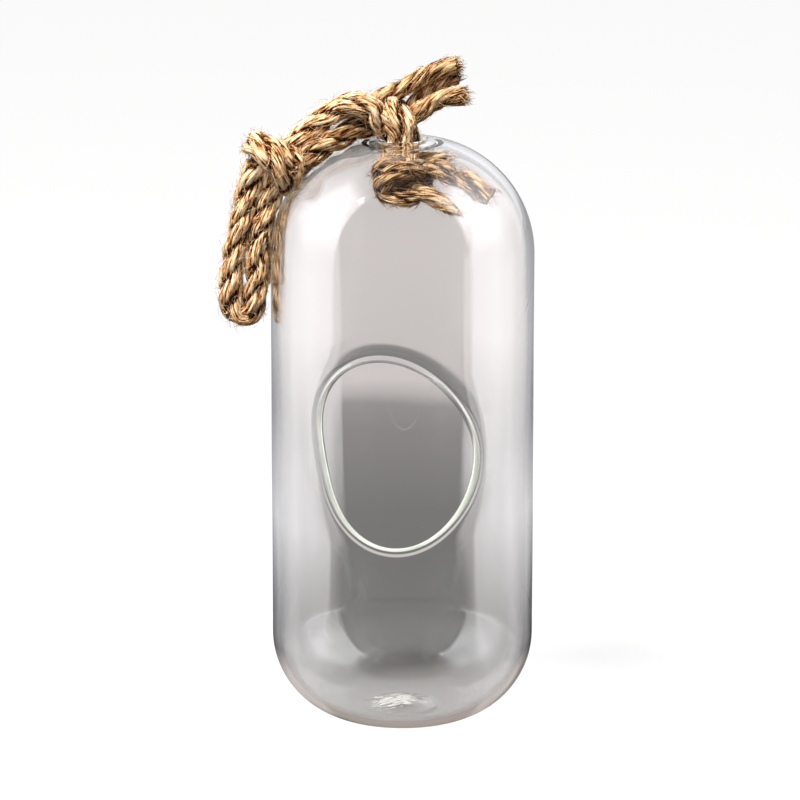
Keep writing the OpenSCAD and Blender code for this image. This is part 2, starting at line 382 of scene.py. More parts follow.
# How much narrower the rope is in the crown's hole, and how far from there it is full again
HOLE_SQUEEZE = 0.81
HOLE_DEPTH = 2.5
SQUEEZE_REACH = 7.0
# Loose fibres for each millimetre of rope or of opened strand, and the longest of them
ROPE_FUZZ = 20.0
ROPE_HAIR = 7.0
STRAND_FUZZ = 9.0
STRAND_HAIR = 6.0
# A strand keeps its width for most of its length, and the tip's width comes near its end
TIP_POWER = 4


def squeezed(line, diameter):
    """The rope's diameter along a line: squeezed where it passes the hole in the crown."""
    radial = np.linalg.norm(line[:, :2], axis=1)
    below = np.abs(line[:, 2] - (BODY_H - HOLE_DEPTH)) / SQUEEZE_REACH
    away = below + np.clip((radial - HOLE_D / 2) / HOLE_D, 0, 1)
    return diameter * (HOLE_SQUEEZE + (1 - HOLE_SQUEEZE) * np.clip(away, 0, 1))


def rope(gathered, route, diameter, seed, turn=0.0, through_hole=False):
    """Three-strand rope along a route. The strands wind to the right about its line."""
    line = smooth(route)
    frames = carried_frames(line)
    distances = distances_along(line)
    widths = squeezed(line, diameter) if through_hole else np.full(len(line), diameter)
    for strand in range(STRANDS):
        row = STRAND_NOISE_STEP * strand
        centres, swell = [], []
        for i, (_, side, up) in enumerate(frames):
            drift = noise.noise(Vector((distances[i] / DRIFT_LENGTH, seed, row)))
            turns = distances[i] / ROPE_LAY + strand / STRANDS
            angle = turn + 2 * math.pi * turns + STRAND_DRIFT * drift
            out = math.cos(angle) * side + math.sin(angle) * up
            centres.append(line[i] + HELIX_SHARE * widths[i] * out)
            swell.append(noise.noise(Vector((i * RING_STEP / SWELL_LENGTH, seed,
                                             SWELL_NOISE_STEP + row))))
        centres = np.array(centres)
        radii = STRAND_SHARE * widths * (1 + STRAND_SWELL * np.array(swell))
        strand_tube(gathered, centres, radii, seed + strand * STRAND_SEED_STEP, hub=line)
        loose_fibres(gathered, centres, radii, ROPE_FUZZ / STRANDS, ROPE_HAIR,
                     int(seed * DRAWS_PER_SEED) + strand, guide=(line, widths.max() / 2))
    return line


def opened_strand(gathered, route, diameter, seed, tip=1.05, brush=80):
    """A strand by itself, whose end is a brush of fibres. The tip is a share of its diameter."""
    line = smooth(route)
    shares = np.linspace(0, 1, len(line))
    radii = diameter / 2 * (1 + (tip - 1) * shares ** TIP_POWER)
    strand_tube(gathered, line, radii, seed)
    loose_fibres(gathered, line, radii, STRAND_FUZZ, STRAND_HAIR, int(seed * DRAWS_PER_SEED),
                 brush=brush)
    return line


# Materials
def new_material(name):
    material = bpy.data.materials.new(name)
    material.use_nodes = True
    material.node_tree.nodes.clear()
    return material, material.node_tree


def new_node(tree, kind, inputs, **properties):
    """A node of a kind. Each of its inputs is a value, or the output of another node."""
    made = tree.nodes.new("ShaderNode" + kind)
    for name, value in properties.items():
        setattr(made, name, value)
    for name, value in inputs.items():
        if isinstance(value, bpy.types.NodeSocket):
            tree.links.new(value, made.inputs[name])
        else:
            made.inputs[name].default_value = value
    return made


def calculated(tree, operation, *values):
    return new_node(tree, "Math", dict(enumerate(values)), operation=operation).outputs[0]


def colour_ramp(tree, value, stops):
    """A colour that follows a value through stops, each of them a place and a colour."""
    ramp = new_node(tree, "ValToRGB", {"Fac": value})
    made = ramp.color_ramp.elements
    ready = len(made)
    for number, (place, colour) in enumerate(stops):
        stop = made[number] if number < ready else made.new(place)
        stop.position = place
        stop.color = (*colour, 1)
    return ramp.outputs["Color"]


# Jute's streaks across and along a strand, for each millimetre: fine ones, and wider patches
FINE_STREAKS = (2.7, 0.22)
WIDE_PATCHES = (0.75, 0.22)
STREAK_DETAIL = 2.0
STREAK_ROUGHNESS = 0.65
# What the streaks, the patches and the relief, with the painted shade of the grooves that it
# carries, add to a shade that starts from a base
STREAK_SHADE = 2.5
PATCH_SHADE = 1.3
RELIEF_SHADE = 0.3
BASE_SHADE = -1.4
# Where the colours of the fibre lie among the shades
DARK_AT = 0.18
BROWN_AT = 0.31
MIDDLE_AT = 0.48
LIGHT_AT = 0.78
JUTE_ROUGHNESS = 0.6
JUTE_SPECULAR = 0.12
JUTE_BUMP = 0.4


def make_jute(name, light, middle, brown, dark):
    """Jute: streaks of light and dark fibre along each strand, with painted shade that makes it
    darkest in the grooves.
    """
    material, tree = new_material(name)
    fibre = new_node(tree, "Attribute", {}, attribute_name="fibre").outputs["Vector"]
    relief_and_groove_shade = new_node(tree, "Attribute", {}, attribute_name="relief_and_groove_shade").outputs["Fac"]

    def streaks(across, along):
        scaled = new_node(tree, "VectorMath", {0: fibre, 1: (across, across, along)},
                          operation="MULTIPLY")
        return new_node(tree, "TexNoise", {"Vector": scaled.outputs[0], "Scale": 1.0,
                                           "Detail": STREAK_DETAIL,
                                           "Roughness": STREAK_ROUGHNESS}).outputs["Fac"]

    fine = streaks(*FINE_STREAKS)
    shade = calculated(tree, "MULTIPLY_ADD", fine, STREAK_SHADE, BASE_SHADE)
    shade = calculated(tree, "MULTIPLY_ADD", streaks(*WIDE_PATCHES), PATCH_SHADE, shade)
    shade = calculated(tree, "MULTIPLY_ADD", relief_and_groove_shade, RELIEF_SHADE, shade)
    stops = [(DARK_AT, dark), (BROWN_AT, brown), (MIDDLE_AT, middle), (LIGHT_AT, light)]
    bump = new_node(tree, "Bump", {"Height": fine, "Strength": 1.0, "Distance": JUTE_BUMP * MM})
    shader = new_node(tree, "BsdfPrincipled", {"Base Color": colour_ramp(tree, shade, stops),
                                               "Roughness": JUTE_ROUGHNESS,
                                               "Specular IOR Level": JUTE_SPECULAR,
                                               "Normal": bump.outputs[0]})
    new_node(tree, "OutputMaterial", {"Surface": shader.outputs[0]})
    return material


# The fibre's light, middle, brown and dark colours, and those of rope that is darker all over:
# painted shade, for rope that lies in shadow and for rope seen through the glass
JUTE = make_jute("jute", (0.97, 0.81, 0.58), (0.82, 0.46, 0.19), (0.31, 0.095, 0.02),
                 (0.022, 0.005, 0.001))
PAINTED_SHADE_JUTE = make_jute("painted_shade_jute", (0.7, 0.5, 0.29), (0.36, 0.165, 0.06),
                        (0.1, 0.034, 0.009), (0.01, 0.003, 0.001))

# Glass: its refraction, the light left in its shadow, and the green that its depth takes on
GLASS_IOR = 1.5
SHADOW_LIGHT = (0.93, 0.93, 0.93, 1)
DEPTH_COLOUR = (0.80, 0.96, 0.84, 1)
DEPTH_DENSITY = 22.0
# Milky glass: how rough and how clear it is, and the cloud of dim and bright in it
MILKY_ROUGHNESS = 0.22
MILKY_CLEAR = 0.45
CLOUD_SCALE = 90.0
DIM_AT = 0.35
BRIGHT_AT = 0.65


def make_glass():
    material, tree = new_material("clear_glass")
    shader = new_node(tree, "BsdfPrincipled", {"Base Color": (1, 1, 1, 1), "Roughness": 0.0,
                                               "IOR": GLASS_IOR, "Transmission Weight": 1.0})
    clear = new_node(tree, "BsdfTransparent", {"Color": SHADOW_LIGHT})
    rays = new_node(tree, "LightPath", {})
    surface = new_node(tree, "MixShader", {"Fac": rays.outputs["Is Shadow Ray"],
                                           1: shader.outputs[0], 2: clear.outputs[0]})
    absorb = new_node(tree, "VolumeAbsorption", {"Color": DEPTH_COLOUR, "Density": DEPTH_DENSITY})
    new_node(tree, "OutputMaterial", {"Surface": surface.outputs[0], "Volume": absorb.outputs[0]})
    return material


def make_milky_glass(name, dim, bright):
    """Glass that was ground or torn and then melted smooth, so that it is pale and a bit milky."""
    material, tree = new_material(name)
    place = new_node(tree, "TexCoord", {}).outputs["Object"]
    cloud = new_node(tree, "TexNoise", {"Vector": place, "Scale": CLOUD_SCALE}).outputs["Fac"]
    colour = colour_ramp(tree, cloud, [(DIM_AT, dim), (BRIGHT_AT, bright)])
    shader = new_node(tree, "BsdfPrincipled", {"Base Color": colour, "IOR": GLASS_IOR,
                                               "Roughness": MILKY_ROUGHNESS,
                                               "Transmission Weight": MILKY_CLEAR})
    new_node(tree, "OutputMaterial", {"Surface": shader.outputs[0]})
    return material


CLEAR_GLASS = make_glass()
LIP_GLASS = make_milky_glass("lip_glass", (0.58, 0.63, 0.54), (0.8, 0.84, 0.77))
SCAR_GLASS = make_milky_glass("scar_glass", (0.75, 0.71, 0.7), (0.95, 0.92, 0.91))


# Routes of the rope, in millimetres from the middle of the crown, as in the CAD part.
# A short list named for the way into or out of a knot carries a stretch on into it.
UPPER_LEG = [
    (-3.2, -0.6, -8), (-3.2, -0.6, -3), (-3.4, -0.7, 0.5), (-5.6, -1.1, 3.6),
    (-8.4, -1.6, 6.6), (-10.2, -2, 9.8), (-14, -2.4, 11.5), (-18.6, -2.6, 10.9),
    (-23.2, -2.6, 8.6), (-27.4, -2.6, 5.8), (-31.4, -2.6, 2.4), (-35, -2.6, -1.2),
]
LOWER_LEG = [
    (-35.2, -6.7, -9.2), (-31.6, -6.7, -6), (-27.4, -5.7, -3), (-23, -3.8, -0.5),
    (-18.4, -1.8, 1.6), (-14.4, 1.4, 2.7), (-10.6, 5, 3.4),
]
TUCKED_TURN = [
    (2.4, -2.6, -8), (2.4, -2.6, -3), (2.3, -2.8, 1), (1.2, -3.2, 4.4), (-0.8, -2.5, 7.3),
    (-2.5, 0.6, 8.8), (-3.1, 4, 8.9), (-3.2, 7.6, 8.6), (-3.1, 11.1, 7.5),
    (-2.7, 13.5, 5.1), (-2.4, 14.6, 2.5),
]
TAILS = [
    [(-10.9, 5, 5), (-9.6, 5.6, 8.8), (-7.2, 5.5, 12.2), (-3.4, 4.8, 14), (1.4, 4.2, 16.2),
     (5.6, 3.4, 18.8), (10.6, 2.4, 21.7), (15, 1.8, 23.4), (18, 1.6, 23.8)],
    [(-10.2, 6.6, 2.8), (-6.8, 8.2, 2.9), (-3.2, 8.4, 2.9), (0.4, 7.6, 4.2), (3.4, 6.2, 8),
     (6.4, 5.4, 12.4), (10.6, 5.2, 16.6), (14.8, 5.2, 19.2), (18, 5.2, 20.2)],
    [(-10.2, 2.8, 2.6), (-6.8, 4.3, 2.8), (-3.2, 4.4, 2.9), (0.4, 3.6, 4.2), (3.4, 2.6, 6.6),
     (7, 1.8, 9), (10.6, 1.4, 11.6), (15.4, 1, 13.4), (20.8, 0.6, 13.5)],
]
HANGING_LOOP = [
    (-52, 0, -20.8), (-54, 0, -30), (-55.8, 0, -38), (-57, 0, -46), (-57.4, 0, -53),
    (-56.9, 0, -57.6), (-55.2, 0, -60.1), (-53.5, 0, -60.7), (-51.7, 0, -60.1), (-50, 0, -57.6),
    (-49.2, 0, -53), (-48.6, 0, -46), (-48.2, 0, -38), (-47.2, 0, -30), (-44.2, 0, -20.8),
]
LOOP_KNOT_END = [
    (-41.5, 2, -12), (-43.6, 7.4, -20), (-44.9, 10.4, -30), (-45, 11, -40), (-44.8, 11.4, -50),
]
INNER_TAIL_LONG = [
    (5, -3, -11), (11, -5, -10.6), (17, -6.6, -12.4), (23, -7.6, -15.6), (28.4, -8.4, -19.4),
]
INNER_TAIL_POINTED = [(4, -5, -17), (9, -7, -18.6), (14, -8.6, -21.4), (19, -10, -24.6)]
INNER_TAIL_SHORT = [(4.6, 2.4, -8.8), (10.4, 1.6, -7.8), (15.6, 1, -8.6)]
INTO_KNOT_ABOVE = [(-38.5, -2.8, -4.6)]
LOOP_INTO_KNOT = [(-48.2, -1.4, -9), (-50.4, -0.6, -15)]
LOOP_OUT_OF_KNOT = [(-42.6, -0.8, -15), (-41.6, -1.6, -9)]

# The loop's knot: two wraps of rope about the legs. The first is a wide one, from a lobe at the
# upper left over the front, and the second lies beside it, nearer the crown.
KNOT_WIDE_WRAP = [
    (-41, 2.6, -9), (-46.8, 2.4, -5), (-48.4, -2.4, -2.4), (-46.4, -7, -2), (-42.8, -9.2, -5.6),
    (-39.6, -8.8, -10), (-38.2, -5.4, -13.4), (-39.6, -1, -14.6), (-42, 2.4, -11),
]
KNOT_NARROW_WRAP = [
    (-42, 1.4, -5), (-40.6, -4, -3), (-37.8, -7.8, -4.2), (-35, -8.4, -7.6),
    (-35, -6.6, -11), (-37.4, -3, -12.6),
]

# The knot inside: two arcs over its front that run on as tails, a wrap below and one behind
STOPPER_TOP_ARC = [(-4.2, 0.6, -17), (-7.6, -1.6, -13.6), (-6.2, -3.8, -9.6), (-1.4, -3.8, -8),
                   (4.6, -1.2, -8.4)]
STOPPER_FRONT_ARC = [(-4.4, -1, -19.4), (-6.8, -5, -15.6), (-3.4, -7.8, -11.4), (1.4, -7.4, -9.8),
                     (6.4, -4.8, -10.6)]
STOPPER_LOW_WRAP = [(-6, 3, -13), (-6.6, -1.4, -18), (-2.6, -6.4, -19.2), (3.2, -6.6, -19),
                    (7.4, -2.4, -17.4), (7, 3, -14)]
STOPPER_MIDDLE = [(-5.4, -0.6, -14.6), (-1, -3, -15.2), (4, -2.6, -14.8), (7, -1, -14)]
STOPPER_BACK_WRAP = [(6.4, -4, -13.6), (7.2, 1.8, -12), (3, 5.4, -11.6), (-2.8, 5, -12),
                     (-5.6, 1.4, -15)]

# How thick the rope is in its knots, where it is pulled tight or spread, and in the tails inside
WIDE_WRAP_D = 9.2
NARROW_WRAP_D = 6.4
STOPPER_ROPE_D = 6.2
LONG_TAIL_D = 6.4
POINTED_TAIL_D = 5.6
SHORT_TAIL_D = 5.4
KNOT_END_D = 0.8 * STRAND_D


def rope_piece(gathered, node, material=JUTE, body="hanger"):
    """A finished piece of rope that stands for a CAD node, and rides on a body if one is given."""
    piece = gathered.piece("rope_" + node, material)
    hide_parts(node)
    if body:
        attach(piece, body)
    return piece


def stretch(route, node, seed, turn=0.0, material=JUTE, body="hanger"):
    gathered = Gathered()
    line = rope(gathered, route, FULL_ROPE_D, seed, turn, through_hole=True)
    return rope_piece(gathered, node, material, body), line


# Opened strands take the darker jute, whose colour is painted shade, unless told otherwise
def strand_piece(route, node, diameter, seed, material=PAINTED_SHADE_JUTE, **end):
    gathered = Gathered()
    line = opened_strand(gathered, route, diameter, seed, **end)
    return rope_piece(gathered, node, material), line


def make_ropes():
    upper, upper_line = stretch(UPPER_LEG + INTO_KNOT_ABOVE, "upper_leg", seed=1.1)
    # The lower leg takes the darker jute, whose colour is painted shade
    lower, _ = stretch(LOWER_LEG, "lower_leg", seed=2.3, turn=1.0, material=PAINTED_SHADE_JUTE)
    stretch(TUCKED_TURN, "tucked_turn", seed=3.7, turn=2.0)

    loop_route = LOOP_INTO_KNOT + HANGING_LOOP + LOOP_OUT_OF_KNOT
    loop, loop_line = stretch(loop_route, "hanging_loop", seed=4.9, turn=0.6, body=None)
    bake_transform(loop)

    strands = [strand_piece(route, f"tail_strand_{number + 1}", FULL_STRAND_D, seed=6.1 + number)
               for number, route in enumerate(TAILS)]

    gathered = Gathered()
    rope(gathered, KNOT_WIDE_WRAP, WIDE_WRAP_D, seed=9.2, turn=1.4)
    rope(gathered, KNOT_NARROW_WRAP, NARROW_WRAP_D, seed=10.4)
    loop_knot = rope_piece(gathered, "loop_knot")
    knot_end, _ = strand_piece(LOOP_KNOT_END, "loop_knot_end", KNOT_END_D, seed=11.7,
                               material=JUTE, tip=0.5)

    # The knot inside and its tails take the darker jute, whose colour is painted shade
    gathered = Gathered()
    for number, route in enumerate((STOPPER_LOW_WRAP, STOPPER_BACK_WRAP, STOPPER_TOP_ARC,
                                    STOPPER_FRONT_ARC, STOPPER_MIDDLE)):
        rope(gathered, route, STOPPER_ROPE_D, seed=12.1 + number, turn=number)
    stopper = rope_piece(gathered, "stopper_knot", PAINTED_SHADE_JUTE)

    gathered = Gathered()
    rope(gathered, INNER_TAIL_LONG, LONG_TAIL_D, seed=17.3)
    long_tail = rope_piece(gathered, "inner_tail_long", PAINTED_SHADE_JUTE)
    pointed_tail, _ = strand_piece(INNER_TAIL_POINTED, "inner_tail_pointed", POINTED_TAIL_D,
                                   seed=18.9, tip=0.2, brush=10)
    short_tail, _ = strand_piece(INNER_TAIL_SHORT, "inner_tail_short", SHORT_TAIL_D,
                                 seed=20.2, brush=60)


make_ropes()


# The bottle: one smooth closed surface, outer wall and inner wall joined round both openings.
# Between the patch's bottom and top, its front half is the patch with the opening.
COLUMNS = 256
PATCH_TOP = 156.0
PATCH_BOTTOM = 33.0
PATCH_ROWS = 72
QUARTER = math.pi / 2
MIDDLE_R = BODY_R - WALL / 2
CROWN_Z = BODY_H - CROWN_R
SHOULDER_X = BODY_R - SHOULDER_R
SHOULDER_Z = CROWN_Z + math.sqrt((CROWN_R - SHOULDER_R) ** 2 - SHOULDER_X ** 2)
CROWN_ANGLE = math.atan2(SHOULDER_X, SHOULDER_Z - CROWN_Z)
BASE_EDGE_X = BODY_R - BASE_EDGE_R
# Points along each part of the profile
BEAD_POINTS = 12
CROWN_POINTS = 30
EDGE_POINTS = 40
HOLLOW_POINTS = 32
# How far the hole's bead turns on past its top, and how far off it the crown starts
BEAD_PAST = 0.07
BEAD_GAP = 0.6
# The collar's thickness fades from inside its edge to outside it
FADE_INSIDE = 2
FADE_OUTSIDE = 3
# How far in from its edge the flat ring under the base ends
FLAT_RING = 0.8


def arc(centre_x, centre_z, radius, start, end, count):
    return [(centre_x + radius * math.sin(a), centre_z + radius * math.cos(a))
            for a in np.linspace(start, end, count)]


def crown_profile(inset):
    """From the hole's bead, over the crown and down the shoulder, as radius and height."""
    bead_r = COLLAR_T / 2
    bead_x = HOLE_D / 2 + bead_r
    bead_z = CROWN_Z + math.sqrt(CROWN_R ** 2 - bead_x ** 2) - bead_r
    bead_end = BEAD_PAST - 2 * QUARTER if inset else BEAD_PAST
    bead = arc(bead_x, bead_z, bead_r, -QUARTER, bead_end, BEAD_POINTS)
    start = math.asin((bead_x + BEAD_GAP) / CROWN_R)
    crown = []
    for a in np.linspace(start, CROWN_ANGLE, CROWN_POINTS):
        thick = 0.0
        if inset:
            off_collar = eased(COLLAR_D / 2 - FADE_INSIDE, COLLAR_D / 2 + FADE_OUTSIDE,
                               CROWN_R * math.sin(a))
            thick = COLLAR_T + (inset - COLLAR_T) * off_collar
        radius = CROWN_R - thick
        crown.append((radius * math.sin(a), CROWN_Z + radius * math.cos(a)))
    shoulder = arc(SHOULDER_X, SHOULDER_Z, SHOULDER_R - inset, CROWN_ANGLE, QUARTER, EDGE_POINTS)
    return bead + crown + shoulder[1:] + [(BODY_R - inset, PATCH_TOP)]


def base_profile(inset):
    """From the wall round the base's edge to the hollow in its middle."""
    wall = [(BODY_R - inset, PATCH_BOTTOM)]
    edge = arc(BASE_EDGE_X, BASE_EDGE_R, BASE_EDGE_R - inset, QUARTER, 2 * QUARTER, EDGE_POINTS)
    flat = [] if inset else [(BASE_EDGE_X - FLAT_RING, 0)]
    hollow_r = BASE_EDGE_X if inset else PUSH_UP_D / 2
    hollow = [(share * hollow_r, inset + PUSH_UP_H * (1 + math.cos(math.pi * share)) / 2)
              for share in np.linspace(1, 0, HOLLOW_POINTS)[1:]]
    return wall + edge + flat + hollow


# The unevenness of blown glass: long waves in both faces, and narrow upright ripples inside
WAVE_LENGTH = 38.0
WAVE_INSIDE_STEP = 9.0
OUTER_WAVE = 0.10
INNER_WAVE = 0.16
RIPPLE = 0.05
RIPPLE_WIDTH = 9.0
RIPPLE_LENGTH = 48.0
# Height over which the waves fade out toward the base
WAVE_FADE = 12
# The scar in the hollow under the base: its middle, how wide it spreads, its coarse and fine
# folds and its scratches as length, width and row of noise
SCAR_X = -2.5
SCAR_Y = 2
SCAR_SPREAD = 75
SCAR_HEIGHT = 0.6
SCAR_INSIDE = 0.7
SCAR_REACH = 12
SCAR_FULL_Z = 10
SCAR_END_Z = 14
COARSE_FOLDS = (5.5, 1.7, 3.0)
FINE_FOLDS = (2, 0.9, 8.0)
FINE_FOLD_SHARE = 0.6
SCRATCHES = (5, 0.7, 5.0)
SCRATCH_SLANT = 0.25
SCRATCH_BASE = 0.62
SCRATCH_LIMIT = 0.45


def round_axis(angle, radius):
    """Where a place lies at an angle round the axis from the front."""
    return radius * math.sin(angle), -radius * math.cos(angle)


def waves(x, y, z, inside):
    """The slight unevenness of blown glass, along the wall's normal."""
    at = Vector((x, y, z)) / WAVE_LENGTH + Vector((0, 0, WAVE_INSIDE_STEP * inside))
    wave = (INNER_WAVE if inside else OUTER_WAVE) * noise.noise(at)
    if inside:
        ripple = Vector((x / RIPPLE_WIDTH, y / RIPPLE_WIDTH, z / RIPPLE_LENGTH))
        wave += RIPPLE * noise.noise(ripple)
    return wave


def folds(x, y, kind):
    length, width, noise_row = kind
    return noise.noise(Vector((x / length, y / width, noise_row)))


def scar_share(x, y):
    """1 in the middle of the scar and 0 well outside it."""
    return math.exp(-(((x - SCAR_X) ** 2 + (y - SCAR_Y) ** 2) / SCAR_SPREAD) ** 2)


def scar_relief(x, y):
    """The wrinkles that the iron left in the hollow under the base."""
    height = folds(x, y, COARSE_FOLDS) + FINE_FOLD_SHARE * folds(x, y, FINE_FOLDS)
    return SCAR_HEIGHT * scar_share(x, y) * height


def is_scratched(centre):
    """Whether a place in the hollow is one of the scar's milky scratches."""
    x, y = centre.x / MM, centre.y / MM
    grain = folds(x + y, y - SCRATCH_SLANT * x, SCRATCHES)
    return scar_share(x, y) * (SCRATCH_BASE + grain) > SCRATCH_LIMIT


def revolved(profile, inside):
    """Rows of points that a profile makes when it is turned round the axis."""
    rows = []
    for profile_r, profile_z in profile:
        row = []
        fade = eased(HOLE_D / 2, COLLAR_D / 2, profile_r) * eased(0, WAVE_FADE, profile_z)
        scar_fade = (SCAR_INSIDE if inside else 1) * eased(SCAR_END_Z, SCAR_FULL_Z, profile_z)
        for j in range(COLUMNS):
            angle = 2 * math.pi * j / COLUMNS - QUARTER
            x, y = round_axis(angle, profile_r)
            radius = profile_r + waves(x, y, profile_z, inside) * fade
            z = profile_z
            if profile_r < SCAR_REACH:
                z += scar_relief(x, y) * scar_fade
            row.append((*round_axis(angle, radius), z))
        rows.append(row)
    return rows


def lay_grid(gathered, rows, closed, flip):
    faces = grid_faces(len(rows), len(rows[0]), closed)
    if flip:
        faces = [face[::-1] for face in faces]
    gathered.add([p for row in rows for p in row], faces)


def on_wall(s, z, radius, inside):
    """A point of the wall: s is the distance round its outside from the front."""
    angle = s / BODY_R
    radius += waves(*round_axis(angle, radius), z, inside)
    return (*round_axis(angle, radius), z)


# The opening's egg shape: it is longer one way, and pointed another way
EGG_LONG = 0.11
EGG_LONG_WAY = math.radians(105.6)
EGG_POINT = 0.041
EGG_POINT_WAY = math.radians(5)
# The lip, and which of its rows of faces are milky
LIP_R = 1.4
LIP_NECK = 1.5
LIP_ROWS = 21
MILKY_FROM = 3
MILKY_ROWS = 12
# The wall is thicker round the opening, most of all above it
RIM_EXTRA = 0.9
RIM_WIDTH = 4.4
RIM_JOIN = 1.2
RIM_TOP = math.radians(75)
RIM_TOP_POWER = 1.5
RIM_BELOW = 0.2
# The wall dips toward the opening
DISH_DEPTH = 0.9
DISH_WIDTH = 4.2
DISH_END_POWER = 6
# Rows of points round the opening, closer near it, and the last of them at these margins
PATCH_RINGS = 22
RING_POWER = 1.5
RIM_MARGINS = (9.0, 8.0, 7.0, 6.2, 5.5, 4.9, 4.4, 3.9, 3.5, 3.1, 2.8, 2.5, 2.2, 1.9, 1.65)


def opening_edge(angle, margin):
    """Where the edge of the opening, widened by a margin, lies on the unrolled wall."""
    reach = OPENING_R * (1 + EGG_LONG * math.cos(2 * (angle - EGG_LONG_WAY))
                         + EGG_POINT * math.cos(3 * (angle - EGG_POINT_WAY))) + margin
    x = -OPENING_LEFT + reach * math.cos(angle)
    return BODY_R * math.asin(x / BODY_R), OPENING_Z + reach * math.sin(angle)


def dish(margin):
    """How far the wall dips at a margin from the opening."""
    return -DISH_DEPTH * math.exp(-(margin / DISH_WIDTH) ** 2)


def rim_extra(angle, margin):
    """How much the wall is thickened on its inside at a margin from the opening."""
    above = max(0.0, math.cos(angle - RIM_TOP)) ** RIM_TOP_POWER
    return (RIM_EXTRA * (RIM_BELOW + (1 - RIM_BELOW) * above)
            * math.exp(-(margin / RIM_WIDTH) ** 2) * eased(LIP_R, LIP_R + RIM_JOIN, margin))


def patch_perimeter():
    half_round = BODY_R * QUARTER
    across = np.linspace(-half_round, half_round, COLUMNS // 2 + 1)
    heights = np.linspace(PATCH_BOTTOM, PATCH_TOP, PATCH_ROWS + 1)
    right = [(half_round, z) for z in heights[:-1]]
    top = [(s, PATCH_TOP) for s in across[:0:-1]]
    left = [(-half_round, z) for z in heights[:0:-1]]
    bottom = [(s, PATCH_BOTTOM) for s in across[:-1]]
    return right + top + left + bottom


def rows_to_lip(perimeter, angles, inside):
    """Rows of one face of the patch, from its perimeter in to the lip."""
    sign = -1 if inside else 1
    outermost = RIM_MARGINS[0]
    rows = []
    for share in np.linspace(1, 0, PATCH_RINGS)[:-1] ** RING_POWER:
        radius = MIDDLE_R + sign * WALL / 2 + dish(outermost) * (1 - share) ** DISH_END_POWER
        row = []
        for (s, z), angle in zip(perimeter, angles):
            near_s, near_z = opening_edge(angle, outermost)
            row.append(on_wall(near_s + (s - near_s) * share, near_z + (z - near_z) * share,
                               radius, inside))
        rows.append(row)
    for margin in RIM_MARGINS:
        thick = WALL / 2 + (LIP_R - WALL / 2) * eased(LIP_R + LIP_NECK, LIP_R, margin)
        radius = MIDDLE_R + sign * thick + dish(margin)
        rows.append([on_wall(*opening_edge(angle, margin),
                             radius - inside * rim_extra(angle, margin), inside)
                     for angle in angles])
    return rows


def front_patch(gathered):
    """The front half of the wall round the opening, from one face over the lip to the other.
    Gives the numbers of the lip's milky faces."""
    perimeter = patch_perimeter()
    middle_s = BODY_R * math.asin(-OPENING_LEFT / BODY_R)
    angles = [math.atan2(z - OPENING_Z, s - middle_s) for s, z in perimeter]
    lip = []
    for turn in np.linspace(QUARTER, -QUARTER, LIP_ROWS):
        margin = LIP_R * (1 - math.cos(turn))
        radius = MIDDLE_R + LIP_R * math.sin(turn) + dish(margin)
        lip.append([on_wall(*opening_edge(angle, margin), radius, False) for angle in angles])
    outer = rows_to_lip(perimeter, angles, False)
    inner = rows_to_lip(perimeter, angles, True)
    first = len(gathered.faces) + (len(outer) + MILKY_FROM) * len(angles)
    lay_grid(gathered, outer + lip + inner[::-1], True, False)
    return range(first, first + MILKY_ROWS * len(angles))


def back_wall(gathered, inside):
    radius = BODY_R - WALL * inside
    rows = []
    for z in np.linspace(PATCH_TOP, PATCH_BOTTOM, PATCH_ROWS + 1):
        angles = [QUARTER + 2 * math.pi * j / COLUMNS for j in range(COLUMNS // 2 + 1)]
        rows.append([on_wall(BODY_R * angle, z, radius, inside) for angle in angles])
    lay_grid(gathered, rows, False, not inside)


WELD_DISTANCE = 0.02
# Where the milky glasses come among the bottle's materials
LIP_SLOT = 1
SCAR_SLOT = 2


def make_bottle():
    gathered = Gathered()
    for inside in (False, True):
        inset = WALL * inside
        for profile in (crown_profile(inset), base_profile(inset)):
            lay_grid(gathered, revolved(profile, inside), True, not inside)
        back_wall(gathered, inside)
    lip_faces = front_patch(gathered)
    bottle = gathered.piece("bottle", CLEAR_GLASS)
    bottle.data.materials.append(LIP_GLASS)
    bottle.data.materials.append(SCAR_GLASS)
    for number in lip_faces:
        bottle.data.polygons[number].material_index = LIP_SLOT
    mesh = bmesh.new()
    mesh.from_mesh(bottle.data)
    bmesh.ops.remove_doubles(mesh, verts=mesh.verts, dist=WELD_DISTANCE * MM)
    bmesh.ops.recalc_face_normals(mesh, faces=mesh.faces)
    mesh.to_mesh(bottle.data)
    mesh.free()
    for face in bottle.data.polygons:
        in_hollow = face.center.z < 2 * PUSH_UP_H * MM and face.center.xy.length < BASE_EDGE_X * MM
        if in_hollow and face.normal.z < 0 and is_scratched(face.center):
            face.material_index = SCAR_SLOT
    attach(bottle, "bottle")
    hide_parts("glass_vessel")


make_bottle()


# The studio: a floor and sky that are white to the camera, and grey seen through the glass.
# Reflections show a bright wall at each side, and little light in front and overhead.
# Its distances are in metres.
FLOOR_REACH = 6.0
FLOOR_COLOUR = (0.1, 0.1, 0.1, 1)
WARM_GREY = (1.0, 0.90, 0.89)
COOL_WHITE = (0.985, 0.96, 1.0)
WARM_FOOT = (1.0, 0.86, 0.80)
# Light of the floor and the sky to the camera, and what they add to the light on the object
SEEN_FLOOR = 0.91
SEEN_SKY = 1.0
FLOOR_FILL = 0.05
SKY_FILL = 0.075
